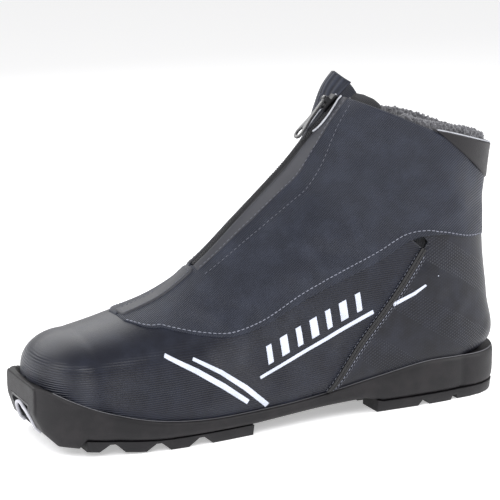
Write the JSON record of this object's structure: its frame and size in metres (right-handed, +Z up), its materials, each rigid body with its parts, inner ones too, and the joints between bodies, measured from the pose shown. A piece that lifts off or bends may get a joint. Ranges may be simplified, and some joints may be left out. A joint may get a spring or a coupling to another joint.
{
  "type": "cross country ski boot",
  "caption": "Left ankle-high cross country ski boot with a zipped cover, fleece collar, inner laces and a steel bar in the toe of the sole.",
  "frame": {"origin": "bottom centre of the bounding box, on the ground under the middle of the sole", "axes": "+X to the toe, +Y to the wearer's outer side, +Z up"},
  "size_m": [0.3, 0.0966, 0.1902],
  "materials": {
    "softshell": "ribbed slate softshell",
    "coated_upper": "dark glossy coated textile with fine ribs",
    "smooth_trim": "smooth dark synthetic leather",
    "zip_tape": "moulded coil on woven tape",
    "piping": "light edge binding",
    "zip_metal": "black painted die cast metal",
    "pull_plastic": "glossy black",
    "steel": "bright steel",
    "notch_insert": "light grey glossy plastic",
    "sole_rubber": "matte black brown rubber",
    "fleece": "grey pile fleece",
    "stiffener": "pressed thermoplastic sheet",
    "board": "pressed fibre board",
    "footbed_foam": "foam with a knitted top",
    "tongue_fabric": "padded knit",
    "lace_cord": "round braided cord",
    "seam_trim": "smooth folded tape"
  },
  "bodies": {
    "boot": {"cover_outer_side": "softshell", "cover_inner_side": "softshell", "vamp": "coated_upper", "heel_panel": "coated_upper", "heel_tab": "smooth_trim", "zip_patch": "smooth_trim", "toe_bar": "steel", "shank": "steel", "zip_stop": "steel", "lace_loop_outer_1": "steel", "lace_loop_outer_2": "steel", "lace_loop_outer_3": "steel", "lace_loop_outer_4": "steel", "lace_loop_inner_1": "steel", "lace_loop_inner_2": "steel", "lace_loop_inner_3": "steel", "lace_loop_inner_4": "steel", "toe_bar_housing": "notch_insert", "outsole": "sole_rubber", "forefoot_tread": "sole_rubber", "heel_tread": "sole_rubber", "collar_fleece": "fleece", "inner_lining": "fleece", "toe_puff": "stiffener", "heel_counter": "stiffener", "insole_board": "board", "footbed": "footbed_foam", "tongue": "tongue_fabric", "eyestay_outer": "tongue_fabric", "eyestay_inner": "tongue_fabric", "lace_over": "lace_cord", "lace_under": "lace_cord", "seam_tape_outer": "seam_trim", "seam_tape_inner": "seam_trim"},
    "outer_flap": {"cover_flap_outer": "softshell", "zip_chain_outer": "zip_tape", "zip_piping_outer": "piping"},
    "inner_flap": {"cover_flap_inner": "softshell", "zip_chain_inner": "zip_tape", "zip_piping_inner": "piping"},
    "slider": {"zip_slider": "zip_metal"},
    "pull": {"zip_pull": "pull_plastic"}
  },
  "joints": [
    {"name": "zip_slide", "type": "slide", "parent": "inner_flap", "child": "slider", "axis": [0.7215, 0, -0.6924], "range_m": [0, 0.1]},
    {"name": "pull_hinge", "type": "hinge", "parent": "slider", "child": "pull", "pos_m": [-0.03914, -0.00147, 0.18205], "axis": [0, -1, 0], "range_deg": [0, 140]},
    {"name": "outer_flap_hinge", "type": "hinge", "parent": "boot", "child": "outer_flap", "pos_m": [0.04505, 0.00776, 0.08981], "axis": [-0.7826, 0.1671, 0.5997], "range_deg": [0, 40]},
    {"name": "inner_flap_hinge", "type": "hinge", "parent": "boot", "child": "inner_flap", "pos_m": [0.04505, -0.00995, 0.0898], "axis": [0.7716, 0.1702, -0.613], "range_deg": [0, 40]}
  ],
  "couplings": [
    {"joint": "outer_flap_hinge", "follows": "zip_slide", "rad_per_m": 6.9},
    {"joint": "inner_flap_hinge", "follows": "zip_slide", "rad_per_m": 6.9}
  ]
}
